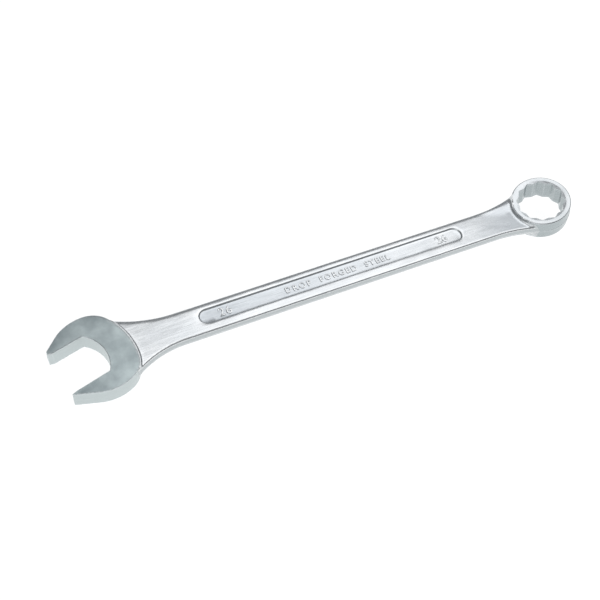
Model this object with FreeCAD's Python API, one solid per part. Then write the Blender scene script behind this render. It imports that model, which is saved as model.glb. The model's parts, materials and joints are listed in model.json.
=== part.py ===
"""Combination wrench for a 26 mm hexagon: an open end, a panelled shank and a 12-point ring end.

One drop forging, written as three solids that meet face to face where the forging itself has a step:
the open-end head, the shank, and the ring-end head. Millimetres, +X from the jaws to the ring, +Z up.
The model is drawn about the centre of the jaws and then moved so that its box stands centred on z = 0.
"""
import FreeCAD, Part
import math
import os

# --- Driving dimensions: millimetres and degrees ---------------------------------------------------
ACROSS_FLATS = 26.0            # the hexagon that both ends fit
HEAD_SPACING = 286.6           # centre of the jaws to centre of the ring

JAW_THICKNESS = 10.6
JAW_OFFSET_ANGLE = 15.0        # the jaws' own axis is turned this far from the shank's
SIDE_RADIUS = 24.3             # outside of the jaws
SIDE_CENTRE = -2.0             # its centre, along the jaws' axis
BACK_RADIUS = 42.0             # back of the head, where it steps down to the shank
BACK_REACH = 16.5              # that back's highest point, along the jaws' axis
SHOULDER_RADIUS = 14.3         # blend between the side and the back
FLANK_ANGLE = 121.2            # where the side turns into the straight flank of a jaw
LONG_FLANK = 12.5              # length of the straight flank on the near jaw
SHORT_FLANK = 9.4              # and on the far jaw, whose tip is a little shorter
THROAT_RADIUS = 19.75
THROAT_REACH = 1.75            # bottom of the throat, along the jaws' axis
LEAD_IN = 3.4                  # length of the eased entry at the near tip
SHORT_LEAD_IN = 2.6
LEAD_DROP = 0.4                # how far the entry opens, at the near tip
SHORT_LEAD_DROP = 0.9
THROAT_FAR_CORNER = 2.5
THROAT_NEAR_CORNER = 1.0
TIP_ROUND = 0.5
HEAD_EDGE_ROUND = 0.5

SHANK_THICKNESS = 7.4
STRAIGHT_START = 43.0
STRAIGHT_END = 246.0
# Half widths at both ends of the straight stretch, and the arc of the neck behind the jaws: its radius,
# and how far it runs on inside the head. The near side is fuller because the jaws point that way.
FAR_SIDE = {"jaw": 9.9, "ring": 10.3, "neck": 70.0, "neck_run": 35.0}
NEAR_SIDE = {"jaw": 9.9, "ring": 10.7, "neck": 50.0, "neck_run": 35.0}
RING_FLARE_RADIUS = 95.0
RING_FLARE_RUN = 34.0          # how far that arc runs on inside the ring
SHANK_EDGE_ROUND = 1.3

PANEL_START = 54.2
PANEL_END = 225.4
PANEL_HALF_WIDTH_JAW = 5.0
PANEL_HALF_WIDTH_RING = 5.2
PANEL_DEPTH = 0.9

RING_RADIUS = 18.7
RING_THICKNESS = 14.6
RING_TOP = 10.2                # top face above the shank's middle, along the ring's own axis
RING_OFFSET_ANGLE = 15.0       # the ring's axis leans this far towards the handle
RING_MOUTH_RADIUS = 15.3       # chamfer at each mouth of the hole
RING_MOUTH_DEPTH = 0.6
RING_EDGE_ROUND = 1.0

HALF = 0.5
OVERRUN = 5.0                  # how far a cutting solid runs past what it cuts


def vec(x, y, z=0.0):
    return FreeCAD.Vector(x, y, z)


def polar(centre, radius, degrees):
    angle = math.radians(degrees)
    return centre + vec(radius * math.cos(angle), radius * math.sin(angle))


def arc(centre, radius, start, end):
    """Arc edge from one angle to another, in degrees, whichever way round is given."""
    middle = polar(centre, radius, HALF * (start + end))
    return Part.Arc(polar(centre, radius, start), middle, polar(centre, radius, end)).toShape()


def line(start, end):
    return Part.LineSegment(start, end).toShape()


def prism(edges, low, high):
    """Solid over a closed outline, between two heights."""
    face = Part.Face(Part.Wire(Part.__sortEdges__(edges)))
    solid = face.extrude(vec(0, 0, high - low))
    solid.translate(vec(0, 0, low))
    return solid


def largest_solid(shape):
    return max(shape.Solids, key=lambda solid: solid.Volume)


def upright_edges_near(solid, points, reach=0.05):
    """The vertical edges that stand over the given plan points."""
    found = []
    for edge in solid.Edges:
        first = edge.Vertexes[0].Point
        last = edge.Vertexes[-1].Point
        upright = math.hypot(first.x - last.x, first.y - last.y) < reach and abs(first.z - last.z) > reach
        if upright and any(math.hypot(first.x - p.x, first.y - p.y) < reach for p in points):
            found.append(edge)
    return found


def edges_at_heights(solid, heights, reach=0.01):
    """The edges that lie wholly at one of the given heights."""
    found = []
    for edge in solid.Edges:
        box = edge.BoundBox
        if any(abs(box.ZMin - h) < reach and abs(box.ZMax - h) < reach for h in heights):
            found.append(edge)
    return found


# --- Open-end head ---------------------------------------------------------------------------------
def shoulder():
    """Centre of the shoulder arc, and the two angles where it meets the side and the back.

    The shoulder's circle touches the side circle and the back circle from inside, so its centre lies
    at known distances from both of their centres.
    """
    back_centre = BACK_REACH - BACK_RADIUS
    to_side = SIDE_RADIUS - SHOULDER_RADIUS
    to_back = BACK_RADIUS - SHOULDER_RADIUS
    gap = SIDE_CENTRE - back_centre
    along = (to_back ** 2 - to_side ** 2 - gap ** 2) / (2 * gap)
    across = math.sqrt(to_side ** 2 - along ** 2)
    side_angle = math.degrees(math.atan2(across, along))
    back_angle = math.degrees(math.atan2(across, along + gap))
    return vec(SIDE_CENTRE + along, across), side_angle, back_angle


def jaw_outside(sign):
    """Half of the head's outside, from the flank round to the middle of the back; sign picks the jaw."""
    centre, side_angle, back_angle = shoulder()
    centre.y *= sign
    return [
        arc(vec(SIDE_CENTRE, 0), SIDE_RADIUS, sign * FLANK_ANGLE, sign * side_angle),
        arc(centre, SHOULDER_RADIUS, sign * side_angle, sign * back_angle),
        arc(vec(BACK_REACH - BACK_RADIUS, 0), BACK_RADIUS, sign * back_angle, 0.0),
    ]


def jaw_tip(sign, flank, lead_in, lead_drop):
    """Corner points of one jaw's tip: end of the flank, nose, and start of the flat."""
    start = polar(vec(SIDE_CENTRE, 0), SIDE_RADIUS, sign * FLANK_ANGLE)
    end = start + polar(vec(0, 0), flank, sign * (FLANK_ANGLE + 90.0))
    flat = sign * HALF * ACROSS_FLATS
    entry = vec(end.x - TIP_ROUND + lead_in, flat)
    nose = vec(end.x - TIP_ROUND, flat + sign * lead_drop)
    return start, end, nose, entry


def head_outline():
    """Edges of the head's plan about the centre of the jaws, and its tip and throat corners."""
    throat_centre = vec(THROAT_REACH - THROAT_RADIUS, 0)
    half_angle = math.degrees(math.asin(HALF * ACROSS_FLATS / THROAT_RADIUS))
    edges = [arc(throat_centre, THROAT_RADIUS, -half_angle, half_angle)]
    tips = []
    throats = {}
    for sign, flank, lead_in, drop in (
        (1, SHORT_FLANK, SHORT_LEAD_IN, SHORT_LEAD_DROP),
        (-1, LONG_FLANK, LEAD_IN, LEAD_DROP),
    ):
        start, end, nose, entry = jaw_tip(sign, flank, lead_in, drop)
        corner = polar(throat_centre, THROAT_RADIUS, sign * half_angle)
        edges += jaw_outside(sign)
        edges += [line(start, end), line(end, nose), line(nose, entry), line(entry, corner)]
        tips += [end, nose]
        throats[sign] = corner
    return edges, tips, throats


def head_blank():
    """The head's full prism with its upright corners rounded, before its faces' edges are eased."""
    edges, tips, throats = head_outline()
    solid = prism(edges, -HALF * JAW_THICKNESS, HALF * JAW_THICKNESS)
    for radius, corners in (
        (THROAT_FAR_CORNER, [throats[1]]),
        (THROAT_NEAR_CORNER, [throats[-1]]),
        (TIP_ROUND, tips),
    ):
        solid = solid.makeFillet(radius, upright_edges_near(solid, corners))
    return solid


def turned_to_jaws(shape):
    shape.rotate(vec(0, 0), vec(0, 0, 1), JAW_OFFSET_ANGLE)
    return shape


def open_end_head():
    blank = head_blank()
    faces = (-HALF * JAW_THICKNESS, HALF * JAW_THICKNESS)
    eased = blank.makeFillet(HEAD_EDGE_ROUND, edges_at_heights(blank, faces))
    return turned_to_jaws(largest_solid(eased))


# --- Shank -----------------------------------------------------------------------------------------
def shank_outline():
    """The shank's plan, running on a little way inside both heads."""
    edges = []
    ends = {"jaw": [], "ring": []}
    for sign, side in ((1, FAR_SIDE), (-1, NEAR_SIDE)):
        neck = side["neck"]
        jaw_centre = vec(STRAIGHT_START, sign * (side["jaw"] + neck))
        ring_centre = vec(STRAIGHT_END, sign * (side["ring"] + RING_FLARE_RADIUS))
        jaw_sweep = math.degrees(math.asin(side["neck_run"] / neck))
        ring_sweep = math.degrees(math.asin(RING_FLARE_RUN / RING_FLARE_RADIUS))
        inward = -sign * 90.0
        edges += [
            arc(jaw_centre, neck, inward, inward - sign * jaw_sweep),
            line(vec(STRAIGHT_START, sign * side["jaw"]), vec(STRAIGHT_END, sign * side["ring"])),
            arc(ring_centre, RING_FLARE_RADIUS, inward, inward + sign * ring_sweep),
        ]
        ends["jaw"].append(polar(jaw_centre, neck, inward - sign * jaw_sweep))
        ends["ring"].append(polar(ring_centre, RING_FLARE_RADIUS, inward + sign * ring_sweep))
    edges += [line(*ends["jaw"]), line(*ends["ring"])]
    return edges


def panel_pocket(sign):
    """The sunk panel on one face: a long slot with full-round ends."""
    jaw_end = vec(PANEL_START + PANEL_HALF_WIDTH_JAW, 0)
    ring_end = vec(PANEL_END - PANEL_HALF_WIDTH_RING, 0)
    edges = [
        arc(jaw_end, PANEL_HALF_WIDTH_JAW, 90.0, 270.0),
        arc(ring_end, PANEL_HALF_WIDTH_RING, -90.0, 90.0),
    ]
    for side in (1, -1):
        start = vec(jaw_end.x, side * PANEL_HALF_WIDTH_JAW)
        edges.append(line(start, vec(ring_end.x, side * PANEL_HALF_WIDTH_RING)))
    floor = sign * (HALF * SHANK_THICKNESS - PANEL_DEPTH)
    above = sign * (HALF * SHANK_THICKNESS + OVERRUN)
    return prism(edges, min(floor, above), max(floor, above))


def shank():
    faces = (-HALF * SHANK_THICKNESS, HALF * SHANK_THICKNESS)
    blank = prism(shank_outline(), *faces)
    long_edges = [e for e in edges_at_heights(blank, faces) if e.BoundBox.YMin * e.BoundBox.YMax > 0]
    body = blank.makeFillet(SHANK_EDGE_ROUND, long_edges)
    body = body.cut(turned_to_jaws(head_blank()))
    ring_wall = Part.makeCylinder(RING_RADIUS, 4 * RING_THICKNESS, vec(0, 0, -2 * RING_THICKNESS))
    body = body.cut(in_ring_frame(ring_wall))
    for sign in (1, -1):
        body = body.cut(panel_pocket(sign))
    return largest_solid(body)


# --- Ring-end head ---------------------------------------------------------------------------------
def in_ring_frame(shape):
    """Leans a shape drawn about the ring's own axis towards the handle, and takes it to the ring."""
    shape.rotate(vec(0, 0), vec(0, 1, 0), -RING_OFFSET_ANGLE)
    shape.translate(vec(HEAD_SPACING, 0))
    return shape


def hexagon_prism(turn, low, high):
    corner_radius = HALF * ACROSS_FLATS / math.cos(math.radians(30.0))
    corners = [polar(vec(0, 0), corner_radius, turn + 60.0 * k) for k in range(6)]
    edges = [line(corners[k], corners[(k + 1) % 6]) for k in range(6)]
    return prism(edges, low, high)


def ring_end_head():
    bottom = RING_TOP - RING_THICKNESS
    ring = Part.makeCylinder(RING_RADIUS, RING_THICKNESS, vec(0, 0, bottom))
    ring = ring.makeFillet(RING_EDGE_ROUND, edges_at_heights(ring, (bottom, RING_TOP)))
    for turn in (0.0, 30.0):
        ring = ring.cut(hexagon_prism(turn, bottom - OVERRUN, RING_TOP + OVERRUN))
    throat_radius = HALF * ACROSS_FLATS
    for face, direction in ((RING_TOP, -1), (bottom, 1)):
        mouth = Part.makeCone(RING_MOUTH_RADIUS, throat_radius, RING_MOUTH_DEPTH, vec(0, 0, face), vec(0, 0, direction))
        ring = ring.cut(mouth)
    return in_ring_frame(largest_solid(ring))


# --- Whole wrench ----------------------------------------------------------------------------------
def main():
    os.makedirs("parts", exist_ok=True)
    solids = {
        "open_end_head": open_end_head(),
        "shank": shank(),
        "ring_end_head": ring_end_head(),
    }
    box = Part.makeCompound(list(solids.values())).optimalBoundingBox()
    to_origin = vec(-box.Center.x, -box.Center.y, -box.ZMin)
    print("moved by", to_origin, "box", box.XLength, box.YLength, box.ZLength)
    for name, solid in solids.items():
        solid.translate(to_origin)
        solid.exportStep("parts/" + name + ".step")
        print(name, solid.ShapeType, solid.isValid(), round(solid.Volume, 1))


main()
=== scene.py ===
# %% [markdown]
# # A 26 mm combination wrench
#
# This tool is one drop forging: red-hot steel is struck between two dies, the rim of squeezed-out
# metal is trimmed off, the jaws are cut and ground, and the whole thing is plated with chrome.
# That story gives every surface its look, so each step below says which stage of the making it copies:
# soft rounded edges from the dies, a faint line where the rim was trimmed, flat ground faces on the jaws.
#
# The CAD model fixes the sizes. Here its three solids are rebuilt as finer meshes in the same place.

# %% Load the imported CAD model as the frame
import json
import math

import bmesh
import bpy
import numpy as np
from mathutils import Matrix, Vector
from mathutils.geometry import delaunay_2d_cdt


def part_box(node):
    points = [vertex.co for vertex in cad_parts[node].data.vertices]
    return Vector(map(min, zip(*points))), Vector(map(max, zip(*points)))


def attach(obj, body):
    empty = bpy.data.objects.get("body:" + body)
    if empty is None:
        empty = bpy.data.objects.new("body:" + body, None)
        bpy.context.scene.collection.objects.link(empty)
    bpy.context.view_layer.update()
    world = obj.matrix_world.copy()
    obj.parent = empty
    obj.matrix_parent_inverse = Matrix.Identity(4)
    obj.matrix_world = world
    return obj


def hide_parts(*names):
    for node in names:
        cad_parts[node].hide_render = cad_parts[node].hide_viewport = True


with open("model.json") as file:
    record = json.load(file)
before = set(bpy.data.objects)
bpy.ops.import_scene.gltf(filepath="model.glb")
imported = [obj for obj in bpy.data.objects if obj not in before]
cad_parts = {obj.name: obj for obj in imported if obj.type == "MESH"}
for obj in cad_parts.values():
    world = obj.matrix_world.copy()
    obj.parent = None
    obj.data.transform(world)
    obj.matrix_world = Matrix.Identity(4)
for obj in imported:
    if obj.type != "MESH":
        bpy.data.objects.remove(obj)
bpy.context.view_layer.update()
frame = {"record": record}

# %% [markdown]
# ## Where everything sits
#
# Nothing is placed by eye. The record of the CAD model holds two interfaces, the jaw mouth and the
# ring hole, each with a position and an axis. From these come the centre of the jaws, the turn of the
# jaws and the lean of the ring. Drawing is done in millimetres about the jaws' centre, because workshop
# sizes are easy to read, and one matrix turns each finished piece into metres.

# %% Places and sizes from the frame
MM = 0.001
HALF = 0.5
mounts = {mount["name"]: mount for mount in frame["record"]["mounts"]}
SEAT_TO_CENTRE = 13.3 * MM  # from the middle of a seated hexagon back to the centre of the jaws
jaw_axis = -Vector(mounts["jaw_mouth"]["axis"])
jaw_centre = Vector(mounts["jaw_mouth"]["pos_m"]) + jaw_axis * SEAT_TO_CENTRE
jaw_turn = math.atan2(jaw_axis.y, jaw_axis.x)

ring_axis = Vector(mounts["ring_hole"]["axis"])
ring_middle = (Vector(mounts["ring_hole"]["pos_m"]) - jaw_centre) / MM
ring_lean = math.atan2(-ring_axis.x, ring_axis.z)
ring_spacing = ring_middle.x + ring_middle.z * math.tan(ring_lean)

head_low, head_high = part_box("open_end_head")
shank_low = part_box("shank")[0]
jaw_thickness = (head_high.z - head_low.z) / MM
shank_thickness = 2 * (jaw_centre.z - shank_low.z) / MM
print("jaws turned", round(math.degrees(jaw_turn), 2), "ring leans", round(math.degrees(ring_lean), 2))
print("jaws", round(jaw_thickness, 3), "mm thick, shank", round(shank_thickness, 3), "mm")
print("heads", round(ring_spacing, 2), "mm apart")

# %% [markdown]
# ## Satin chrome on steel
#
# All of the tool is the same metal, yet three finishes show. The jaws' faces are ground before plating,
# so fine scratches run across them and they look darker and bluer. The shank keeps the slightly wavy skin
# of the forging under its chrome. The ring is plated over a turned surface. Each finish is a metallic
# shader whose roughness and bump come from noise read in Object coordinates, so that the pattern keeps
# its real size. One picture of scratches wrapped round the tool would stretch on the curved neck.

# %% Noise, colours and bumps for a material
def noise_at(nodes, links, cell, stretch=(1, 1, 1), turn=0.0, detail=3.0):
    """Noise whose patches are cell metres wide, drawn out by stretch and turned about Z."""
    where = nodes.new("ShaderNodeTexCoord")
    turned_frame = nodes.new("ShaderNodeMapping")
    turned_frame.vector_type = "TEXTURE"
    turned_frame.inputs["Rotation"].default_value = (0, 0, turn)
    turned_frame.inputs["Scale"].default_value = [cell * s for s in stretch]
    noise = nodes.new("ShaderNodeTexNoise")
    noise.inputs["Scale"].default_value = 1.0
    noise.inputs["Detail"].default_value = detail
    links.new(where.outputs["Object"], turned_frame.inputs["Vector"])
    links.new(turned_frame.outputs["Vector"], noise.inputs["Vector"])
    return noise.outputs["Fac"]


def blended(nodes, links, factor, low, high):
    """Two colours mixed by a factor."""
    mix = nodes.new("ShaderNodeMix")
    mix.data_type = "RGBA"
    mix.inputs["A"].default_value = (*low, 1)
    mix.inputs["B"].default_value = (*high, 1)
    links.new(factor, mix.inputs["Factor"])
    return mix.outputs["Result"]


def over(nodes, links, factor, colour, top):
    """A fixed colour laid over another one, as strongly as a factor says."""
    mix = nodes.new("ShaderNodeMix")
    mix.data_type = "RGBA"
    mix.inputs["B"].default_value = (*top, 1)
    links.new(colour, mix.inputs["A"])
    links.new(factor, mix.inputs["Factor"])
    return mix.outputs["Result"]


def stored(nodes, name):
    """A value kept in the mesh under a name."""
    node = nodes.new("ShaderNodeAttribute")
    node.attribute_name = name
    return node.outputs["Fac"]


def ranged(nodes, links, value, start, end, low, high):
    """A value between start and end, carried over to the range from low to high."""
    node = nodes.new("ShaderNodeMapRange")
    for name, number in (("From Min", start), ("From Max", end), ("To Min", low), ("To Max", high)):
        node.inputs[name].default_value = number
    links.new(value, node.inputs["Value"])
    return node.outputs["Result"]


def bumped(nodes, links, height, depth, below=None):
    """A bump of a given depth in metres, laid over another one."""
    bump = nodes.new("ShaderNodeBump")
    bump.inputs["Distance"].default_value = depth
    links.new(height, bump.inputs["Height"])
    if below is not None:
        links.new(below, bump.inputs["Normal"])
    return bump.outputs["Normal"]


def weighed(nodes, links, value, weight, added=None):
    """A value times a weight, which is a number or another value, with something added."""
    node = nodes.new("ShaderNodeMath")
    node.operation = "MULTIPLY_ADD"
    links.new(value, node.inputs[0])
    if isinstance(weight, float):
        node.inputs[1].default_value = weight
    else:
        links.new(weight, node.inputs[1])
    if added is None:
        node.inputs[2].default_value = 0.0
    else:
        links.new(added, node.inputs[2])
    return node.outputs["Value"]


# %% Plated steel
NOISE_BAND = (0.3, 0.7)
# Patches of the edge colour, which is partly wear and partly painted edge light.
EDGE_PATCH_CELL = 0.0009
EDGE_PATCH_BAND, EDGE_PATCH_STRENGTH = (0.3, 0.6), (0.25, 1.0)
DULLED_ROUGHER = 0.08
# Darker colour painted as shade in the panel's recess and beside the ring.
PAINTED_SHADE_COLOUR = (0.66, 0.70, 0.74)


def chrome(name, dull, bright, painted_wall_shade, edge_wear_and_light_colour, rough, grain, wave, blotch, edge_rougher=0.0):
    """Plated steel: blotchy colour, walls darkened as painted shade, painted shade in the dull places, grain
    along one way, a wavy skin, and rougher edges whose colour is partly wear and partly painted light.

    grain and wave are dicts with the noise's cell in metres, its stretch and turn, and its depth.
    """
    made = bpy.data.materials.new(name)
    made.use_nodes = True
    nodes, links = made.node_tree.nodes, made.node_tree.links
    shader = nodes["Principled BSDF"]
    shader.inputs["Metallic"].default_value = 1.0
    shade_and_dullness, wall, edge = (stored(nodes, kept) for kept in ("shade_and_dullness", "wall", "edge_wear_and_light"))

    patches = noise_at(nodes, links, blotch, detail=4.0)
    colour = blended(nodes, links, ranged(nodes, links, patches, *NOISE_BAND, 0, 1), dull, bright)
    # Painted shade: the panel's recess and the neck beside the ring get a darker colour.
    colour = over(nodes, links, shade_and_dullness, colour, PAINTED_SHADE_COLOUR)
    # Painted shade: walls get a darker colour, by how far they face away from up.
    colour = over(nodes, links, wall, colour, painted_wall_shade)
    # Edges take their own colour in patches: partly wear, partly painted light, lighter on the jaws and
    # darker on the ring.
    specks = ranged(nodes, links, noise_at(nodes, links, EDGE_PATCH_CELL), *EDGE_PATCH_BAND, *EDGE_PATCH_STRENGTH)
    colour = over(nodes, links, weighed(nodes, links, edge, specks), colour, edge_wear_and_light_colour)
    links.new(colour, shader.inputs["Base Color"])

    strands = noise_at(nodes, links, grain["cell"], grain["stretch"], grain["turn"], 5.0)
    roughness = ranged(nodes, links, strands, *NOISE_BAND, *rough)
    roughness = weighed(nodes, links, shade_and_dullness, DULLED_ROUGHER, roughness)
    roughness = weighed(nodes, links, edge, edge_rougher, roughness)
    links.new(roughness, shader.inputs["Roughness"])

    skin = noise_at(nodes, links, wave["cell"], wave["stretch"], wave["turn"], 2.0)
    lying = bumped(nodes, links, skin, wave["depth"])
    links.new(bumped(nodes, links, strands, grain["depth"], lying), shader.inputs["Normal"])
    return made


# %% The three finishes
# The wall colours are painted shade. The edge colours are partly wear and partly painted edge light: lighter
# on the jaws, darker on the ring.
ground_steel = chrome(
    "ground_steel", dull=(0.36, 0.42, 0.44), bright=(0.72, 0.81, 0.82),
    painted_wall_shade=(0.53, 0.585, 0.59), edge_wear_and_light_colour=(0.86, 0.90, 0.91),
    rough=(0.28, 0.40), blotch=0.014, edge_rougher=0.4,
    grain={"cell": 0.0003, "stretch": (1, 30, 1), "turn": jaw_turn, "depth": 0.000006},
    wave={"cell": 0.012, "stretch": (1, 1, 1), "turn": 0.0, "depth": 0.00006},
)
plated_steel = chrome(
    "plated_steel", dull=(0.72, 0.745, 0.77), bright=(0.90, 0.915, 0.93),
    painted_wall_shade=(0.47, 0.505, 0.515), edge_wear_and_light_colour=(0.90, 0.91, 0.92),
    rough=(0.20, 0.34), blotch=0.022,
    grain={"cell": 0.0004, "stretch": (30, 1, 1), "turn": 0.0, "depth": 0.000004},
    wave={"cell": 0.007, "stretch": (2.4, 1, 1), "turn": 0.0, "depth": 0.00016},
)
plated_ring = chrome(
    "plated_ring", dull=(0.62, 0.65, 0.67), bright=(0.80, 0.82, 0.84),
    painted_wall_shade=(0.41, 0.455, 0.465), edge_wear_and_light_colour=(0.60, 0.63, 0.65),
    rough=(0.20, 0.34), blotch=0.012,
    grain={"cell": 0.0003, "stretch": (1, 1, 14), "turn": 0.0, "depth": 0.00001},
    wave={"cell": 0.006, "stretch": (1, 1, 1), "turn": 0.0, "depth": 0.00008},
)
print("finishes:", [finish.name for finish in (ground_steel, plated_steel, plated_ring)])

# %% [markdown]
# ## Drawing in plan
#
# A forging die is drawn in plan first: straight lines and arcs that run into each other. The helpers
# below give arcs and rounded corners as lists of points. The spacing of the points is what later decides
# how smooth an edge looks, so it is one named value rather than a count repeated everywhere.

# %% Arcs, corners and offsets
POINT_SPACING = 0.45
FEWEST_ARC_POINTS = 9
CLOSEST_POINTS = 0.01


def arc(centre, radius, start, end):
    """Points along an arc in millimetres, from one angle to another in degrees."""
    count = int(abs(math.radians(end - start)) * radius / POINT_SPACING) + FEWEST_ARC_POINTS
    angles = np.radians(np.linspace(start, end, count))
    return np.stack([centre[0] + radius * np.cos(angles), centre[1] + radius * np.sin(angles)], -1)


def straight(start, end):
    """Points along a line, without its last one."""
    start, end = np.array(start, float), np.array(end, float)
    count = max(2, int(np.linalg.norm(end - start) / (2 * POINT_SPACING)))
    return start + np.linspace(0, 1, count, endpoint=False)[:, None] * (end - start)


def polar(radius, degrees):
    return radius * np.array([math.cos(math.radians(degrees)), math.sin(math.radians(degrees))])


def rounded_corner(before, corner, after, radius):
    """The arc that eases the corner between two straight lines."""
    to_before, to_after = before - corner, after - corner
    to_before, to_after = to_before / np.linalg.norm(to_before), to_after / np.linalg.norm(to_after)
    half_angle = HALF * math.acos(np.clip(to_before @ to_after, -1, 1))
    inward = (to_before + to_after) / np.linalg.norm(to_before + to_after)
    centre = corner + inward * radius / math.sin(half_angle)
    reach = radius / math.tan(half_angle)
    start = np.degrees(np.arctan2(*(corner + to_before * reach - centre)[::-1]))
    end = np.degrees(np.arctan2(*(corner + to_after * reach - centre)[::-1]))
    return arc(centre, radius, start, start + (end - start + 180) % 360 - 180)


def turned(points, angle):
    """Plan points turned about the jaws' centre."""
    spin = np.array([[math.cos(angle), -math.sin(angle)], [math.sin(angle), math.cos(angle)]])
    return points @ spin.T


def without_repeats(points):
    """A closed outline with no point twice, running anticlockwise."""
    keep = np.linalg.norm(points - np.roll(points, 1, axis=0), axis=1) > CLOSEST_POINTS
    points = points[keep]
    following = np.roll(points, -1, axis=0)
    area = HALF * np.sum(points[:, 0] * following[:, 1] - points[:, 1] * following[:, 0])
    return points if area > 0 else points[::-1]


def outward_normals(points):
    """Unit normals of a closed anticlockwise outline, pointing away from the metal."""
    along = np.roll(points, -1, axis=0) - np.roll(points, 1, axis=0)
    normals = np.stack([along[:, 1], -along[:, 0]], -1)
    return normals / np.linalg.norm(normals, axis=1)[:, None]


def inset(points, distance):
    return points - outward_normals(points) * np.reshape(distance, (-1, 1))


print("a quarter turn of 5 mm radius has", len(arc((0, 0), 5, 0, 90)), "points")


# %% Distances, which later become heights
AT_ONCE = 2000
NEXT_TO_NOTHING = 1e-12


def distance_to(points, curve, closed=True):
    """Shortest distance from each point to a curve, and the index of the curve point it is nearest to."""
    starts = curve if closed else curve[:-1]
    ends = np.roll(curve, -1, axis=0) if closed else curve[1:]
    spans = ends - starts
    lengths = np.maximum((spans ** 2).sum(1), NEXT_TO_NOTHING)
    best = np.full(len(points), np.inf)
    nearest = np.zeros(len(points), int)
    for low in range(0, len(points), AT_ONCE):
        block = points[low:low + AT_ONCE, None, :]
        share = np.clip(((block - starts) * spans).sum(2) / lengths, 0, 1)
        gaps = np.linalg.norm(block - starts - share[..., None] * spans, axis=2)
        nearest[low:low + AT_ONCE] = gaps.argmin(1)
        best[low:low + AT_ONCE] = gaps.min(1)
    return best, nearest


def inside(points, outline):
    """Which points lie inside a closed outline."""
    start, end = outline, np.roll(outline, -1, axis=0)
    x, y = points[:, 0, None], points[:, 1, None]
    crosses = (start[:, 1] > y) != (end[:, 1] > y)
    rise = np.where(end[:, 1] == start[:, 1], NEXT_TO_NOTHING, end[:, 1] - start[:, 1])
    reach = start[:, 0] + (y - start[:, 1]) * (end[:, 0] - start[:, 0]) / rise
    return (crosses & (x < reach)).sum(1) % 2 == 1


circle = without_repeats(arc((0, 0), 5, 0, 360))
to_rim = distance_to(np.array([[2.0, 0.0]]), circle)[0][0]
print("a point 2 mm off the middle of a 5 mm circle is", round(float(to_rim), 2), "mm from its rim")

# %% [markdown]
# ## The open end in plan
#
# The outside of the jaws is a chain of arcs, each tangent to the next, which is how a die sinker sets it
# out: a side arc round each jaw, a tighter shoulder, and a flat arc across the back. The mouth is cut
# afterwards, with two flats 26 mm apart and a shallow round throat. One could trace such a shape with a
# free curve, but then nothing would say where the flats are. Arcs from a few sizes keep the fit exact.

# %% Outline of the open end
ACROSS_FLATS = 26.0
SIDE_RADIUS, SIDE_CENTRE = 24.3, -2.0
BACK_RADIUS, BACK_REACH = 42.0, 16.5
SHOULDER_RADIUS = 14.3
FLANK_ANGLE = 121.2
THROAT_RADIUS, THROAT_REACH = 19.75, 1.75
TIP_ROUND = 0.5
ENTRY_ROUND = 2.5
FLANK_CLEAR = 0.15
# 1 is the far jaw and -1 the near one.
JAWS = {
    1: {"flank": 9.4, "lead_in": 2.6, "drop": 0.9, "corner": 2.5},
    -1: {"flank": 12.5, "lead_in": 3.4, "drop": 0.4, "corner": 1.0},
}


def shoulder_arcs():
    """Centre of the shoulder arc and the angles where it meets the side and the back."""
    to_side, to_back = SIDE_RADIUS - SHOULDER_RADIUS, BACK_RADIUS - SHOULDER_RADIUS
    gap = SIDE_CENTRE - (BACK_REACH - BACK_RADIUS)
    along = (to_back ** 2 - to_side ** 2 - gap ** 2) / (2 * gap)
    across = math.sqrt(to_side ** 2 - along ** 2)
    side_angle = math.degrees(math.atan2(across, along))
    back_angle = math.degrees(math.atan2(across, along + gap))
    return np.array([SIDE_CENTRE + along, across]), side_angle, back_angle


def jaw_half(sign):
    """One jaw from the bottom of the throat, round the tip, to the middle of the back."""
    sizes = JAWS[sign]
    flip = np.array([1, sign])
    flat = HALF * ACROSS_FLATS
    throat_x = THROAT_REACH - THROAT_RADIUS
    corner = sizes["corner"]
    corner_reach = math.sqrt((THROAT_RADIUS - corner) ** 2 - (flat - corner) ** 2)
    corner_centre = np.array([throat_x + corner_reach, flat - corner])
    meets = math.degrees(math.atan2(corner_centre[1], corner_centre[0] - throat_x))
    flank_start = np.array([SIDE_CENTRE, 0]) + polar(SIDE_RADIUS, FLANK_ANGLE)
    flank_end = flank_start + polar(sizes["flank"], FLANK_ANGLE + 90)
    nose = np.array([flank_end[0] - TIP_ROUND, flat + sizes["drop"]])
    entry = np.array([nose[0] + sizes["lead_in"], flat])
    flat_end = np.array([corner_centre[0], flat])
    centre, side_angle, back_angle = shoulder_arcs()
    pieces = [
        arc((throat_x, 0), THROAT_RADIUS, 0, meets),
        arc(corner_centre, corner, meets, 90),
        straight(flat_end, entry + (1.0, 0)),
        rounded_corner(flat_end, entry, nose, ENTRY_ROUND),
        rounded_corner(entry, nose, flank_end, TIP_ROUND),
        rounded_corner(nose, flank_end, flank_start, TIP_ROUND),
        straight(flank_end + (flank_start - flank_end) * FLANK_CLEAR, flank_start),
        arc((SIDE_CENTRE, 0), SIDE_RADIUS, FLANK_ANGLE, side_angle),
        arc(centre, SHOULDER_RADIUS, side_angle, back_angle),
        arc((BACK_REACH - BACK_RADIUS, 0), BACK_RADIUS, back_angle, 0),
    ]
    return np.concatenate(pieces) * flip


head_plan = without_repeats(turned(np.concatenate([jaw_half(1), jaw_half(-1)[::-1]]), jaw_turn))
print("open end outline:", len(head_plan), "points")

# %% [markdown]
# ## The shank in plan
#
# The shank is a straight bar with a slight taper, and its sides sweep out in one arc into each head.
# The two arcs behind the jaws differ, because the turned jaws need more metal on the side they point to.
# The plan runs on a little way inside both heads, so that no gap can show where the pieces meet.

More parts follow.
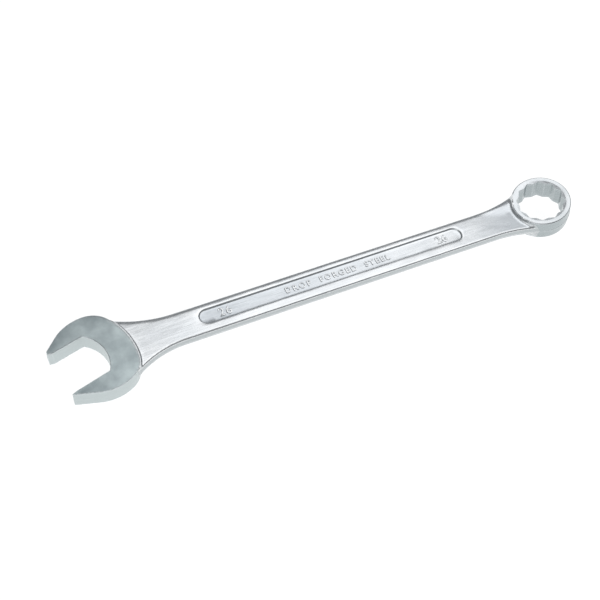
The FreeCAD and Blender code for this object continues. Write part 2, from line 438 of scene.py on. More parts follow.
# %% Outline of the shank
WIDTHS = {1: {"jaw": 9.9, "ring": 10.3}, -1: {"jaw": 9.9, "ring": 10.7}}
STRAIGHT_START, STRAIGHT_END = 43.0, 246.0
NECK_RADIUS = {1: 70.0, -1: 52.0}
NECK_RUN = {1: 35.0, -1: 31.0}
RING_FLARE_RADIUS, FLARE_RUN = 95.0, 34.0
RING_RADIUS = 18.7
RING_DRAFT = 0.4
BURIED_IN_RING = 1.6
HIDDEN_DEPTH = 0.3
EASING_STEPS = (-2, -1, 0, 1, 2)


def side_of_shank(sign):
    """One long side, from inside the open end to inside the ring."""
    neck, width = NECK_RADIUS[sign], WIDTHS[sign]
    neck_sweep = math.degrees(math.asin(NECK_RUN[sign] / neck))
    flare_sweep = math.degrees(math.asin(FLARE_RUN / RING_FLARE_RADIUS))
    pieces = [
        arc((STRAIGHT_START, width["jaw"] + neck), neck, 270 - neck_sweep, 270),
        straight((STRAIGHT_START, width["jaw"]), (STRAIGHT_END, width["ring"]))[1:],
        arc((STRAIGHT_END, width["ring"] + RING_FLARE_RADIUS), RING_FLARE_RADIUS, 270, 270 + flare_sweep),
    ]
    return np.concatenate(pieces) * np.array([1, sign])


def ring_at_height(radius, height, start=90, end=270):
    """Plan curve where a level plane cuts the leaning wall of the ring."""
    wall = arc((0, 0), radius, start, end)
    wall[:, 0] = wall[:, 0] / math.cos(ring_lean) + ring_spacing - height * math.tan(ring_lean)
    return wall


far_side, near_side = side_of_shank(1), side_of_shank(-1)
ring_wall = ring_at_height(RING_RADIUS - BURIED_IN_RING, 0)
ring_wall = ring_wall[ring_wall[:, 0] < far_side[-1, 0]]
jaw_end = straight(far_side[0], near_side[0])[1:]
shank_plan = without_repeats(np.concatenate([near_side, ring_wall[::-1], far_side[::-1], jaw_end]))
in_jaws = inside(shank_plan, inset(head_plan, HIDDEN_DEPTH))
in_ring = inside(shank_plan, ring_at_height(RING_RADIUS - HIDDEN_DEPTH, 0, 0, 360))
shank_share = np.where(in_jaws | in_ring, 0.0, 1.0)
shank_share = sum(np.roll(shank_share, step) for step in EASING_STEPS) / len(EASING_STEPS)
print("shank outline:", len(shank_plan), "points,", int((in_jaws | in_ring).sum()), "of them in the heads")

# %% [markdown]
# ## From a plan to a forging
#
# A forged bar is a plate whose thickness follows rules: full in the middle, rounded off near the rim,
# sunk inside the panel, swelling up again where it runs into a thicker head. So the mesh is made in two
# moves. First the plan is filled with triangles by a constrained Delaunay fill, which keeps every guide
# curve as real edges. Then each point is lifted to the height that the rules give at its place.
# The outer wall gets a little draft, the slope that lets a forging leave its die, and a thin land at
# half height where the trimming tool sheared the rim off.

# %% Fill a plan with triangles
CLEAR_OF_RIM = 0.04
ROW_HEIGHT = 0.87
SAME_POINT = 1e-5


def looped(curve):
    """A closed curve as a list of points that ends where it starts."""
    return np.concatenate([curve, curve[:1]])


def runs_inside(curve, outline):
    """The stretches of a curve that lie clear inside an outline, as separate curves."""
    keep = inside(curve, outline) & (distance_to(curve, outline)[0] > CLEAR_OF_RIM)
    cuts = np.flatnonzero(np.diff(keep.astype(int))) + 1
    return [run for run, kept in zip(np.split(curve, cuts), np.split(keep, cuts)) if kept[0] and len(run) > 1]


def plan_fill(outline, guides, grid_step):
    """Triangles that fill an outline and keep the guides as edges; also where the outline's points went."""
    points = [outline]
    edges = []
    base = len(outline)
    for guide in guides:
        for curve in runs_inside(guide, outline):
            points.append(curve)
            edges += [(base + k, base + k + 1) for k in range(len(curve) - 1)]
            base += len(curve)
    lines = np.concatenate(points)
    low, high = outline.min(0), outline.max(0)
    columns, rows = np.arange(low[0], high[0], grid_step), np.arange(low[1], high[1], grid_step * ROW_HEIGHT)
    gx, gy = np.meshgrid(columns, rows)
    gx[::2] += grid_step * HALF
    grid = np.stack([gx.ravel(), gy.ravel()], -1)
    grid = grid[inside(grid, outline)]
    grid = grid[distance_to(grid, lines, closed=False)[0] > grid_step * HALF] if len(grid) else grid
    everything = np.concatenate([lines, grid])
    made = delaunay_2d_cdt([Vector(p) for p in everything], edges, [list(range(len(outline)))], 1, SAME_POINT)
    where = {}
    for index, sources in enumerate(made[3]):
        for source in sources:
            where[source] = index
    rim = [where[k] for k in range(len(outline))]
    return np.array([tuple(v) for v in made[0]]), [list(f) for f in made[2]], rim


print("the circle fills with", len(plan_fill(circle, [], 1.6)[1]), "triangles")


# %% Lift both faces and close the wall between them
DRAFT = 0.28
TRIM_LAND = 0.35
TRIM_STEP = 0.07
THINNEST_WALL = 0.1
SEAM_WELD = 0.0001
WALL_LEVELS = (1.0, 0.75, 0.5, 0.25, 0.0, -0.25, -0.5, -0.75, -1.0)
to_row_frame = Matrix.Translation(jaw_centre) @ Matrix.Scale(MM, 4)


def open_edges(build):
    return sum(1 for edge in build.edges if not edge.is_manifold)


def added(name, mesh):
    """An object that shows a mesh, put into the scene."""
    piece = bpy.data.objects.new(name, mesh)
    bpy.context.collection.objects.link(piece)
    return piece


def forged_mesh(name, outline, forged, height, guides, grid_step):
    """Closed mesh of a plate: two lifted faces and the wall between them, in metres in the row frame.

    forged is 1 along the outline where the wall is as forged, and 0 where it was cut straight.
    height(points, side) gives how far each face stands from the middle; guides(side) its edge curves.
    """
    rim_plan = inset(outline, DRAFT * forged)
    build = bmesh.new()
    rims = {}
    for side in (1, -1):
        plan, faces, rim = plan_fill(rim_plan, guides(side), grid_step)
        heights = height(plan, side)
        verts = [build.verts.new((x, y, side * z)) for (x, y), z in zip(plan, heights)]
        for face in faces:
            loop = [verts[k] for k in face]
            build.faces.new(loop if side > 0 else loop[::-1])
        rims[side] = [verts[k] for k in rim]
    normals = outward_normals(outline)
    edge_heights = {side: np.array([abs(v.co.z) for v in rims[side]]) for side in (1, -1)}
    rings = [rims[1]]
    for level in WALL_LEVELS[1:-1]:
        edge_height = edge_heights[1 if level > 0 else -1]
        tall = abs(level) * edge_height
        drafted = np.maximum(edge_height - TRIM_LAND, THINNEST_WALL)
        slope = DRAFT * np.clip((tall - TRIM_LAND) / drafted, 0, 1)
        step = np.where(tall > TRIM_LAND, TRIM_STEP, 0.0)
        ring = outline - normals * (np.maximum(slope, step) * forged)[:, None]
        rings.append([build.verts.new((x, y, level * h)) for (x, y), h in zip(ring, edge_height)])
    rings.append(rims[-1])
    count = len(outline)
    for upper, lower in zip(rings, rings[1:]):
        for k in range(count):
            following = (k + 1) % count
            build.faces.new((upper[k], lower[k], lower[following], upper[following]))
    bmesh.ops.remove_doubles(build, verts=build.verts, dist=SEAM_WELD)
    bmesh.ops.recalc_face_normals(build, faces=build.faces)
    build.transform(to_row_frame)
    mesh = bpy.data.meshes.new(name)
    build.to_mesh(mesh)
    print(name, len(mesh.polygons), "faces,", open_edges(build), "open edges")
    build.free()
    return mesh


# %% Edge and fillet rules
def smooth_step(value, start, end):
    """0 before start, 1 past end, and an S between them."""
    share = np.clip((value - start) / (end - start), 0, 1)
    return share ** 2 * (3 - 2 * share)


def eased_drop(depth, width, height):
    """How far a rounded edge lies below the face, at a depth in from the rim: an ellipse."""
    short = np.clip(1 - depth / width, 0, 1)
    return height * (1 - np.sqrt(1 - short ** 2))


def fillet_rise(gap, radius):
    """How far a hollow fillet climbs a wall, at a gap out from the wall."""
    short = np.clip(radius - gap, 0, radius)
    return radius - np.sqrt(radius ** 2 - short ** 2)


print("a 1 mm edge has dropped", round(float(eased_drop(0.5, 1.0, 1.0)), 2), "mm at half its width")

# %% [markdown]
# ## The open end
#
# The jaw head is the thick part of the tool. Its two faces and the mouth are ground after forging, so they
# are flat and their edges carry a small straight bevel, while the outside keeps the rounded edge and the
# draft of the die. That rounded edge is crisp round the jaws and soft and wide at the far back, where
# polishing wears it most. A bevel modifier would ease every edge alike. Mixing two edge shapes along the
# rim needs a rule instead: each point of the outline says how much of it is forged, and how wide its
# edge is.

# %% Build the open-end head
HEAD_EDGE_HEIGHT = 0.7
HEAD_EDGE_WIDTHS = (0.35, 2.0)
FAR_BACK = np.array([0.6, 0.8])  # the way to the far back of the head, in plan
MOUTH_BEVEL = 0.3
EDGE_STEPS = (0.06, 0.16, 0.3, 0.55, 0.8, 1.2, 1.7, 2.1)
TIP_BLEND = 1.5
PAST_THROAT = 1.0
FACE_GRID = 1.6


def forged_share(outline):
    """1 where the head's outside is as forged, 0 in the cut mouth, easing over at the tips."""
    local = turned(outline, -jaw_turn)
    from_mouth = np.abs(local[:, 1]) - HALF * ACROSS_FLATS
    in_front = local[:, 0] < THROAT_REACH + PAST_THROAT
    return np.where(in_front, np.clip(from_mouth / TIP_BLEND, 0, 1), 1.0)


head_share = forged_share(head_plan)
head_rim = inset(head_plan, DRAFT * head_share)
facing_back = np.clip(outward_normals(head_plan) @ FAR_BACK, 0, 1) ** 2
edge_width = np.interp(facing_back, (0, 1), HEAD_EDGE_WIDTHS)


def head_height(points, side):
    """Height of the ground face above the middle, with a bevel in the mouth and a round edge outside."""
    depth, nearest = distance_to(points, head_rim)
    share, width = head_share[nearest], edge_width[nearest]
    round_edge = eased_drop(depth, width, np.minimum(width, HEAD_EDGE_HEIGHT))
    bevel = np.clip(MOUTH_BEVEL - depth, 0, MOUTH_BEVEL)
    return HALF * jaw_thickness - (share * round_edge + (1 - share) * bevel)


def head_guides(side):
    return [looped(inset(head_rim, step)) for step in EDGE_STEPS]


open_end_mesh = forged_mesh("open_end", head_plan, head_share, head_height, head_guides, FACE_GRID)
open_end = added("open_end", open_end_mesh)

# %% [markdown]
# ## The shank with its two panels
#
# The long panel sunk into each face saves weight and leaves a stiff rim on both sides, like an I-beam.
# The die makes its wall sloping and soft, with no sharp line. A Boolean cut would leave a hard vertical
# step. Here the panel is one more rule of height: the distance to the panel's edge sets the depth.
# The same idea climbs a fillet up the back of the open end and up the wall of the ring, and lifts a low
# shoulder beside the ring. The four long edges aren't alike: hand polishing has taken more off some of
# them, so each has a width and a drop of its own.

# %% Outline of the panel
PANEL_START, PANEL_END = 54.2, 225.4
PANEL_MIDDLE = 0.2
PANEL_WIDTHS = {"jaw": 5.0, "ring": 5.2}


def panel_outline():
    start, end = PANEL_START + PANEL_WIDTHS["jaw"], PANEL_END - PANEL_WIDTHS["ring"]
    pieces = [
        arc((start, 0), PANEL_WIDTHS["jaw"], 90, 270),
        straight((start, -PANEL_WIDTHS["jaw"]), (end, -PANEL_WIDTHS["ring"]))[1:],
        arc((end, 0), PANEL_WIDTHS["ring"], -90, 90),
        straight((end, PANEL_WIDTHS["ring"]), (start, PANEL_WIDTHS["jaw"]))[1:],
    ]
    return without_repeats(np.concatenate(pieces)) + (0, PANEL_MIDDLE)


panel = panel_outline()
print("panel:", len(panel), "points,", round(float(np.ptp(panel[:, 0])), 1), "mm long")

# %% Where the shank runs up the ring
RING_FILLET, RING_FILLET_AT_SIDES = 2.2, 3.8
SHOULDER_RUN = (238.0, 272.0)
SHOULDER_WIDTHS = (2.0, 7.0)
SHOULDER_BAND = (0.5, 1.5)
SHOULDER_RISE = 1.6


def clear_of_wall(points, side):
    """Gap from each point to the ring's leaning wall at the shank's face, and the fillet's radius there."""
    height = side * HALF * shank_thickness
    along = (points[:, 0] - ring_spacing + height * math.tan(ring_lean)) * math.cos(ring_lean)
    gap = np.hypot(along, points[:, 1]) - (RING_RADIUS - RING_DRAFT)
    sideways = (points[:, 1] / np.hypot(along, points[:, 1])) ** 2
    return gap, RING_FILLET + (RING_FILLET_AT_SIDES - RING_FILLET) * sideways


def shoulder_rise(points, side):
    """The swelling of the upper face along the far rim, which carries the shank up into the leaning ring."""
    if side < 0:
        return 0.0
    share = smooth_step(points[:, 0], *SHOULDER_RUN)
    width = SHOULDER_WIDTHS[0] + (SHOULDER_WIDTHS[1] - SHOULDER_WIDTHS[0]) * share
    from_far_side = distance_to(points, far_side, closed=False)[0] / width
    return SHOULDER_RISE * share * (1 - smooth_step(from_far_side, *SHOULDER_BAND))


middle_of_joint = np.array([[SHOULDER_RUN[1], 0.0]])
print("the ring's wall is", round(float(clear_of_wall(middle_of_joint, 1)[0][0]), 2), "mm past the shoulder")

# %% Height of the shank's faces
PANEL_DEPTH = 0.85
PANEL_WALL = 0.9
PANEL_LIP = 0.15
PANEL_STEPS = (-0.12, 0.0, 0.12, 0.25, 0.38, 0.5, 0.63, 0.75, 0.87)
# Far or near side, then upper or lower face: the width of the rounded edge and its drop.
SHANK_EDGES = {(1, 1): (3.6, 1.8), (-1, 1): (1.3, 1.2), (1, -1): (2.2, 2.2), (-1, -1): (3.0, 3.0)}
SHANK_EDGE_STEPS = (0.06, 0.15, 0.28, 0.45, 0.62, 0.8, 1.1, 1.45, 1.8, 2.2, 2.6, 3.0, 3.6)
SHOULDER_EASE = 4.0
HEAD_FILLET = 1.3
FILLET_FADE = 1.0
FADES_IN_RING = (0.2, 1.0)
FILLET_STEPS = (0.0, 0.12, 0.28, 0.5, 0.75, 1.0)
FILLET_ARC = (60, 300)
SHANK_GRID = 2.2
shank_rim = inset(shank_plan, DRAFT * shank_share)


def shank_height(points, side):
    """Height of a face above the middle: less at the edges and in the panel, more towards both heads."""
    height = np.full(len(points), HALF * shank_thickness)
    from_rim = {}
    for sign, curve in ((1, far_side), (-1, near_side)):
        depth = distance_to(points, curve, closed=False)[0] - DRAFT
        from_rim[sign] = depth
        width, drop = SHANK_EDGES[sign, side]
        if (sign, side) == (1, 1):
            width = width + SHOULDER_EASE * smooth_step(points[:, 0], *SHOULDER_RUN)
        height -= eased_drop(np.maximum(depth, 0), width, drop)
    gap = distance_to(points, panel)[0]
    into_panel = np.where(inside(points, panel), gap, -gap) / PANEL_WALL
    height -= PANEL_DEPTH * smooth_step(into_panel, -PANEL_LIP, 1.0)
    head_gap = np.where(inside(points, head_plan), 0, distance_to(points, head_plan)[0])
    height += fillet_rise(head_gap, HEAD_FILLET)
    gap, radius = clear_of_wall(points, side)
    rise = fillet_rise(np.maximum(gap, 0), radius) * np.clip(from_rim[-1] / FILLET_FADE, 0, 1)
    in_the_open = 1 - smooth_step(-gap, *FADES_IN_RING)
    return height + (rise + shoulder_rise(points, side)) * in_the_open


def shank_guides(side):
    curves = [looped(inset(shank_rim, step)) for step in SHANK_EDGE_STEPS]
    curves += [looped(inset(panel, step)) for step in PANEL_STEPS]
    for step in FILLET_STEPS:
        radius = RING_RADIUS + step * RING_FILLET_AT_SIDES
        curves.append(looped(inset(head_plan, -step * HEAD_FILLET)))
        curves.append(ring_at_height(radius, side * HALF * shank_thickness, *FILLET_ARC))
    return curves


middle_of_panel = HALF * np.array([[PANEL_START + PANEL_END, 0.0]])
print("thickness in the panel:", round(2 * float(shank_height(middle_of_panel, 1)[0]), 2), "mm")

# %% Build the shank
shank_mesh = forged_mesh("panelled_shank", shank_plan, shank_share, shank_height, shank_guides, SHANK_GRID)
shank = added("panelled_shank", shank_mesh)

# %% [markdown]
# ## The ring end
#
# The ring is a short tube whose axis leans towards the handle, so that knuckles clear the work. Its hole
# is broached with two hexagons turned 30 degrees apart, which leaves twelve corners. Cutting two prisms
# from a tube would do, but the cut edges would stay razor sharp. One twelfth of the ring is drawn instead,
# as a section whose bore follows a formula, and a Geometry Nodes tree sets twelve of them in a circle.
# That way every corner gets the same small rounding, and one number changes the count.

# %% Section of the ring's wall
RING_POINTS = 12
RIDGE_HALF_TURN = 180 / RING_POINTS
RING_TOP, RING_BOTTOM = 10.2, -4.4
MOUTH_RADIUS, MOUTH_DEPTH = 15.3, 0.5
RING_EDGE = 0.8
LAND_EASE = 0.06
MOUTH_EASE, MOUTH_DROP = 0.1, 0.03
VALLEY_EASE, RIDGE_EASE = 1.1, 0.45
WALL_SHARES = (0.3, 0.55, 0.78)
BORE_SHARES = (0.66, 0.33)
EDGE_ANGLES = (0, 15, 30, 45, 60, 75, 90)


def bore_radius(from_corner):
    """Radius of the hole at an angle in degrees from its nearest corner, with corner and ridge eased."""
    eased = math.hypot(from_corner, VALLEY_EASE)
    eased = RIDGE_HALF_TURN - math.hypot(RIDGE_HALF_TURN - min(eased, RIDGE_HALF_TURN), RIDGE_EASE)
    return HALF * ACROSS_FLATS / math.cos(math.radians(2 * RIDGE_HALF_TURN - eased))


def ring_section(bore):
    """Closed section of the ring wall as (radius, height) points, from the outside over the top and back."""
    middle = HALF * (RING_TOP + RING_BOTTOM)
    half_height = HALF * (RING_TOP - RING_BOTTOM)
    wall_height = half_height - RING_EDGE
    points = [(RING_RADIUS, 0.0), (RING_RADIUS, TRIM_LAND), (RING_RADIUS - TRIM_STEP, TRIM_LAND + LAND_EASE)]
    for share in WALL_SHARES:
        back = TRIM_STEP + share * (RING_DRAFT - TRIM_STEP)
        points.append((RING_RADIUS - back, TRIM_LAND + share * (wall_height - TRIM_LAND)))
    for degrees in EDGE_ANGLES:
        across, up = polar(RING_EDGE, degrees)
        points.append((RING_RADIUS - RING_DRAFT - RING_EDGE + across, wall_height + up))
    points += [(MOUTH_RADIUS + MOUTH_EASE, half_height), (MOUTH_RADIUS, half_height - MOUTH_DROP)]
    slope = MOUTH_DEPTH / (MOUTH_RADIUS - HALF * ACROSS_FLATS)
    meets = half_height - (MOUTH_RADIUS - bore) * slope
    points += [(bore + MOUTH_EASE, meets + MOUTH_EASE * slope), (bore, meets - MOUTH_EASE)]
    points += [(bore, meets * share) for share in BORE_SHARES]
    lower = [(radius, -height) for radius, height in points if height > 0][::-1]
    return [(radius, height + middle) for radius, height in points + [(bore, 0.0)] + lower]


print("bore from", round(bore_radius(RIDGE_HALF_TURN), 2), "to", round(bore_radius(0), 2), "mm in radius")

# %% One twelfth of the ring
SECTOR_ANGLES = {0, 0.5, 1.0, 1.6, 2.4, 3.6, 5.2, 7.2, 9.2, 11.0, 12.4, 13.4, 14.0, 14.5, 15.0}
build = bmesh.new()
columns = []
for angle in sorted(SECTOR_ANGLES | {2 * RIDGE_HALF_TURN - a for a in SECTOR_ANGLES}):
    section = ring_section(bore_radius(min(angle, 2 * RIDGE_HALF_TURN - angle)))
    turn = math.radians(angle)
    columns.append([build.verts.new((r * math.cos(turn), r * math.sin(turn), z)) for r, z in section])
for left, right in zip(columns, columns[1:]):
    for k in range(len(left)):
        following = (k + 1) % len(left)
        build.faces.new((left[k], right[k], right[following], left[following]))
sector_mesh = bpy.data.meshes.new("ring_sector")
build.to_mesh(sector_mesh)
build.free()
ring_sector = added("ring_sector", sector_mesh)
print("one twelfth of the ring:", len(sector_mesh.polygons), "faces")


# %% A Geometry Nodes tree that sets copies in a circle
def circle_of_copies():
    """Copies of a mesh turned about Z, welded where they meet; inputs Copies, Weld distance and Finish."""
    tree = bpy.data.node_groups.new("circle_of_copies", "GeometryNodeTree")
    face = tree.interface
    face.new_socket("Geometry", in_out="INPUT", socket_type="NodeSocketGeometry")
    copies = face.new_socket("Copies", in_out="INPUT", socket_type="NodeSocketInt")
    weld = face.new_socket("Weld distance", in_out="INPUT", socket_type="NodeSocketFloat")
    finish = face.new_socket("Finish", in_out="INPUT", socket_type="NodeSocketMaterial")
    face.new_socket("Geometry", in_out="OUTPUT", socket_type="NodeSocketGeometry")
    new = tree.nodes.new
    given, made = new("NodeGroupInput"), new("NodeGroupOutput")
    points, index = new("GeometryNodePoints"), new("GeometryNodeInputIndex")
    place, real = new("GeometryNodeInstanceOnPoints"), new("GeometryNodeRealizeInstances")
    share, turn, spin = new("ShaderNodeMath"), new("ShaderNodeMath"), new("ShaderNodeCombineXYZ")
    merge, paint = new("GeometryNodeMergeByDistance"), new("GeometryNodeSetMaterial")
    share.operation, turn.operation = "DIVIDE", "MULTIPLY"
    turn.inputs[1].default_value = math.tau
    link = tree.links.new
    link(given.outputs["Copies"], points.inputs["Count"])
    link(points.outputs[0], place.inputs["Points"])
    link(given.outputs["Geometry"], place.inputs["Instance"])
    link(index.outputs[0], share.inputs[0])
    link(given.outputs["Copies"], share.inputs[1])
    link(share.outputs[0], turn.inputs[0])
    link(turn.outputs[0], spin.inputs["Z"])
    link(spin.outputs[0], place.inputs["Rotation"])
    link(place.outputs[0], real.inputs[0])
    link(real.outputs[0], merge.inputs["Geometry"])
    link(given.outputs["Weld distance"], merge.inputs["Distance"])
    link(merge.outputs[0], paint.inputs["Geometry"])
    link(given.outputs["Finish"], paint.inputs["Material"])
    link(paint.outputs[0], made.inputs[0])
    return tree, {"copies": copies.identifier, "weld": weld.identifier, "finish": finish.identifier}


def plain_mesh(piece, name):
    """The evaluated result of a piece's modifiers as a mesh of its own, with the modifiers then removed."""
    seen = piece.evaluated_get(bpy.context.evaluated_depsgraph_get())
    mesh = bpy.data.meshes.new_from_object(seen)
    mesh.name = name
    piece.modifiers.clear()
    return mesh


# %% Twelve copies make the ring
WELD = 0.002
tree, sockets = circle_of_copies()
copier = ring_sector.modifiers.new("twelve_points", "NODES")
copier.node_group = tree
copier[sockets["copies"]] = RING_POINTS
copier[sockets["weld"]] = WELD
copier[sockets["finish"]] = plated_ring
ring_mesh = plain_mesh(ring_sector, "ring_end")
bpy.data.objects.remove(ring_sector)

lean = Matrix.Translation((ring_spacing, 0, 0)) @ Matrix.Rotation(-ring_lean, 4, "Y")
ring_mesh.transform(to_row_frame @ lean)
build = bmesh.new()
build.from_mesh(ring_mesh)
bmesh.ops.recalc_face_normals(build, faces=build.faces)
print("ring end:", len(build.faces), "faces,", open_edges(build), "open edges")
build.to_mesh(ring_mesh)
build.free()
ring_end = added("ring_end", ring_mesh)

# %% [markdown]
# ## The raised marks
#
# The size of the nut stands in relief near both ends of the panel, with plain trade words between. In the
# die such letters are cut into the steel with a tapered cutter, so on the forging their sides slope and
# their tops are soft. A text curve has just the right two numbers for this: a thickness and a bevel.
# The curves are turned into meshes first and placed afterwards, so that their place is in their points.

# %% A line of letters as a mesh
LETTER_SINK = 0.15
LETTER_RELIEF = 0.4
LETTER_SLOPE = 0.08
LETTER_SLIMMING = 0.3


def letters(words, size, spacing):
    """Mesh of a line of words centred on the origin, standing up along Z, in millimetres."""
    curve = bpy.data.curves.new("letters", "FONT")
    curve.body = words
    curve.size = size
    curve.space_character = spacing
    curve.align_x, curve.align_y = "CENTER", "CENTER"
    curve.extrude = HALF * (LETTER_SINK + LETTER_RELIEF)
    curve.bevel_depth = LETTER_SLOPE
    curve.bevel_resolution = 1
    curve.offset = -LETTER_SLIMMING * LETTER_SLOPE
    curve.resolution_u = 5
    holder = added("letters", curve)
    mesh = plain_mesh(holder, "letters")
    bpy.data.objects.remove(holder)
    return mesh


# %% The marks on both faces
PANEL_MARKS = [
    {"words": "26", "along": 69.5, "size": 7.4, "spacing": 1.12},
    {"words": "DROP  FORGED  STEEL", "along": 140.0, "size": 5.2, "spacing": 1.32},
    {"words": "26", "along": 211.0, "size": 7.4, "spacing": 1.12},
]
SAME_CORNER = 1e-7
panel_floor = HALF * shank_thickness - PANEL_DEPTH
letter_middle = panel_floor + HALF * (LETTER_RELIEF - LETTER_SINK)
marks = bmesh.new()
for mark in PANEL_MARKS:
    line = letters(mark["words"], mark["size"], mark["spacing"])
    for side in (1, -1):
        turn_over = Matrix.Rotation(0 if side > 0 else math.pi, 4, "X")
        lift = Matrix.Translation((mark["along"], 0, side * letter_middle))
        copy = line.copy()
        copy.transform(to_row_frame @ lift @ turn_over)
        marks.from_mesh(copy)
bmesh.ops.remove_doubles(marks, verts=marks.verts, dist=SAME_CORNER)
bmesh.ops.recalc_face_normals(marks, faces=marks.faces)
print("raised marks:", len(marks.faces), "faces,", open_edges(marks), "open edges")
marks_mesh = bpy.data.meshes.new("raised_marks")
marks.to_mesh(marks_mesh)
marks.free()
raised_marks = added("raised_marks", marks_mesh)

# %% [markdown]
# ## Finishing the meshes
#
# Chrome shows every fault in the shading, because it reflects by the surface's normals. Smooth shading
# with a sharp split at real corners keeps faces flat and edges round. Rubbing in a toolbox polishes the
# edges first, so the curvature at each point is kept as an attribute, which the materials read: it makes
# the edges rougher and gives them a colour that is partly wear and partly painted light, a painted
# highlight on the jaws and shank and a painted dark edge line on the ring. Two more attributes say where
# a surface is a wall, which gets a darker colour as painted shade, and where the faces get painted shade
# and more roughness: down in the panel, most of all towards the jaws, and in the neck beside the ring.
# Reading sharpness from a shader node would depend on the renderer, and a stored value doesn't.

# %% Where the metal is rubbed, a wall or dull
# Curvature at which an edge counts fully: rougher, and coloured partly by wear and partly by painted edge
# light.
FULL_EDGE_CURVATURE = 1100.0
SHORTEST_BEND = 0.0002
WALL_FACING = (0.9, 0.4)
# Painted shade and extra roughness: deep in the panel, most towards the jaws, and in the neck beside the
# ring.
PANEL_SHADE_AND_DULLNESS = (0.9, 0.1)
SHADE_AND_DULLNESS_FADE = 0.2
RING_NECK, RING_NECK_SHADE_AND_DULLNESS = (228.0, 262.0), 0.65


def bend_at_points(build):
    """The strongest outward bend of the edges at each point, as a curvature per metre."""
    bends = np.zeros(len(build.verts))
    for edge in build.edges:
        first, second = edge.link_faces[:2]
        apart = (first.calc_center_median() - second.calc_center_median()).length
        bend = edge.calc_face_angle_signed(0.0) / max(apart, SHORTEST_BEND)
        for vert in edge.verts:
            bends[vert.index] = max(bends[vert.index], bend)
    return bends


def shade_and_dullness_share(along, from_middle):
    """How much painted shade and extra roughness the shank's faces get at a place along it and a height from
    its middle, in millimetres.
    """
    depth_share = np.clip((panel_floor + SHADE_AND_DULLNESS_FADE - from_middle) / SHADE_AND_DULLNESS_FADE, 0, 1)
    in_panel = np.interp(along, (PANEL_START, PANEL_END), PANEL_SHADE_AND_DULLNESS) * depth_share
    return np.maximum(in_panel, RING_NECK_SHADE_AND_DULLNESS * smooth_step(along, *RING_NECK))


jaw_end_of_panel = float(shade_and_dullness_share(PANEL_START, 0.0))
print("dullest at the panel's jaw end:", round(jaw_end_of_panel, 2))

# %% Smooth shading and materials for all pieces
SHARP_ANGLE = math.radians(24)


def finish_piece(piece, finish, up):
    """Gives a piece its material, smooth shading split at corners, and the three attributes."""
    mesh = piece.data
    mesh.materials.clear()
    mesh.materials.append(finish)
    build = bmesh.new()
    build.from_mesh(mesh)
    facing = np.array([abs(vert.normal @ up) for vert in build.verts])
    from_middle = np.array([abs(vert.co.z - jaw_centre.z) for vert in build.verts]) / MM
    along = np.array([vert.co.x - jaw_centre.x for vert in build.verts]) / MM
    stored_values = {
        # Edge curvature: rougher edges, and an edge colour that is partly wear and partly painted edge light.
        "edge_wear_and_light": np.clip(bend_at_points(build) / FULL_EDGE_CURVATURE, 0, 1),
        # How far a surface faces sideways: walls get a darker colour, which is painted shade.
        "wall": np.clip((WALL_FACING[0] - facing) / (WALL_FACING[0] - WALL_FACING[1]), 0, 1),
        # Painted shade and extra roughness on the shank's upward faces, in the panel's recess and beside the
        # ring.
        "shade_and_dullness": (piece is shank) * (facing > WALL_FACING[0]) * shade_and_dullness_share(along, from_middle),
    }
    build.free()
    for name, values in stored_values.items():
        attribute = mesh.attributes.new(name, "FLOAT", "POINT")
        attribute.data.foreach_set("value", values.astype(np.float32))
    mesh.shade_smooth()
    mesh.set_sharp_from_angle(angle=SHARP_ANGLE)
    print(piece.name, "triangles:", sum(len(face.vertices) - 2 for face in mesh.polygons))


PIECES = [
    (open_end, ground_steel, "ground_steel", "open_end_head"),
    (shank, plated_steel, "plated_steel", "shank"),
    (ring_end, plated_ring, "plated_ring", "ring_end_head"),
    (raised_marks, plated_steel, "plated_steel", None),
]
for piece, finish, slot_name, node in PIECES:
    finish_piece(piece, finish, ring_axis if piece is ring_end else Vector((0, 0, 1)))
    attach(piece, "root")
    if node:
        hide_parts(node)

# %% [markdown]
# ## The floor
#
# The ring end hangs lower than the jaws, so on a bench the tool rests on the ring's rim and on one jaw.
# The CAD frame keeps the shank level, so here the floor is laid under those two points instead: it is
# tipped by less than a degree. A level floor would leave a gap under the jaws.

# %% Lay the floor under the points that carry the tool
FLOOR_SIZE = 4.0
FLOOR_GREY, FLOOR_GLOW = 0.35, 0.88


def corners_of(mesh):
    points = np.zeros(len(mesh.vertices) * 3)
    mesh.vertices.foreach_get("co", points)
    return points.reshape(-1, 3)


ring_points, jaw_points = corners_of(ring_end.data), corners_of(open_end.data)
lowest = ring_points[ring_points[:, 2].argmin()]
floor_tip = np.arctan2(jaw_points[:, 2] - lowest[2], lowest[0] - jaw_points[:, 0]).min()
bpy.ops.mesh.primitive_plane_add(size=FLOOR_SIZE)
floor = bpy.context.object
floor.name = "floor"
floor.data.transform(Matrix.Translation(lowest) @ Matrix.Rotation(floor_tip, 4, "Y"))
paint = bpy.data.materials.new("pale_floor")
paint.use_nodes = True
paint_shader = paint.node_tree.nodes["Principled BSDF"]
paint_shader.inputs["Base Color"].default_value = (FLOOR_GREY, FLOOR_GREY, FLOOR_GREY, 1)
paint_shader.inputs["Roughness"].default_value = 0.9
paint_shader.inputs["Specular IOR Level"].default_value = 0.0
paint_shader.inputs["Emission Color"].default_value = (1, 1, 1, 1)
paint_shader.inputs["Emission Strength"].default_value = FLOOR_GLOW
floor.data.materials.append(paint)
print("floor tipped by", round(math.degrees(floor_tip), 2), "degrees")

# %% [markdown]
# ## Light
#
# Polished metal has no colour of its own: it shows what stands around it. One large soft box behind and
# to the right turns the upward faces white. A low one in front keeps the near walls from going black, and
# a third at the near left lights the small fillets round the ring. What lies between the boxes stays dim,
# and that draws the thin dark lines along the edges. Small lamps would only make hot spots.

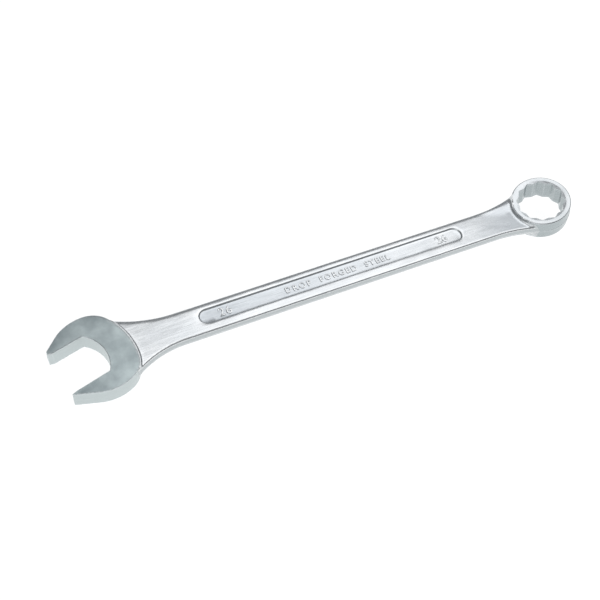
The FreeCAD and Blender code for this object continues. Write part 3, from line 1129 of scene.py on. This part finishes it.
# %% Soft boxes
WORLD_COLOUR, WORLD_STRENGTH = (0.93, 0.97, 1.0, 1), 0.24


def softbox(name, azimuth, elevation, distance, width, height, brightness):
    """Area light that looks at the origin. Azimuth is from +Y towards +X, and brightness is its radiance."""
    lamp = bpy.data.lights.new(name, "AREA")
    lamp.shape = "RECTANGLE"
    lamp.size, lamp.size_y = width, height
    lamp.energy = brightness * math.pi * width * height
    holder = bpy.data.objects.new(name, lamp)
    turn, rise = math.radians(azimuth), math.radians(elevation)
    toward = Vector((math.sin(turn) * math.cos(rise), math.cos(turn) * math.cos(rise), math.sin(rise)))
    aim = (-toward).to_track_quat("-Z", "Y").to_matrix().to_4x4()
    holder.matrix_world = Matrix.Translation(toward * distance) @ aim
    bpy.context.collection.objects.link(holder)
    return holder


softbox("back_softbox", azimuth=67, elevation=63, distance=1.5, width=1.8, height=1.15, brightness=1.05)
softbox("front_softbox", azimuth=216, elevation=28, distance=1.5, width=1.5, height=0.8, brightness=0.6)
softbox("side_softbox", azimuth=240, elevation=60, distance=1.5, width=1.0, height=0.9, brightness=0.8)
world = bpy.data.worlds.new("studio")
world.use_nodes = True
world.node_tree.nodes["Background"].inputs["Color"].default_value = WORLD_COLOUR
world.node_tree.nodes["Background"].inputs["Strength"].default_value = WORLD_STRENGTH
bpy.context.scene.world = world
bpy.context.scene.view_settings.view_transform = "Standard"

# %% [markdown]
# ## Camera
#
# The camera looks down on the tool from the side of the lower jaw, with the ring farther away, and is
# rolled a little so that the shank rises to the right. It is placed from an aim point, a distance and
# three angles, as one sets up a tripod, and not from raw coordinates.

# %% Camera
CAMERA_HEADING = math.radians(34.228)
CAMERA_LOOKING_DOWN = math.radians(53.273)
CAMERA_ROLL = math.radians(9.945)
CAMERA_DISTANCE = 0.45876
CAMERA_LENS = 48.965
AIM_FROM_JAWS = Vector((0.11211, -0.00698, 0.0004))

lens = bpy.data.cameras.new("camera")
lens.lens = CAMERA_LENS
lens.sensor_width = 36.0
lens.clip_start = 0.01
camera = bpy.data.objects.new("camera", lens)
bpy.context.collection.objects.link(camera)
tilt = math.radians(90) - CAMERA_LOOKING_DOWN
heading, roll = Matrix.Rotation(-CAMERA_HEADING, 4, "Z"), Matrix.Rotation(CAMERA_ROLL, 4, "Z")
gaze = heading @ Matrix.Rotation(tilt, 4, "X") @ roll
step_back = gaze.to_3x3() @ Vector((0, 0, CAMERA_DISTANCE))
camera.matrix_world = Matrix.Translation(jaw_centre + AIM_FROM_JAWS + step_back) @ gaze
bpy.context.scene.camera = camera
print("camera at", [round(v, 3) for v in camera.location])
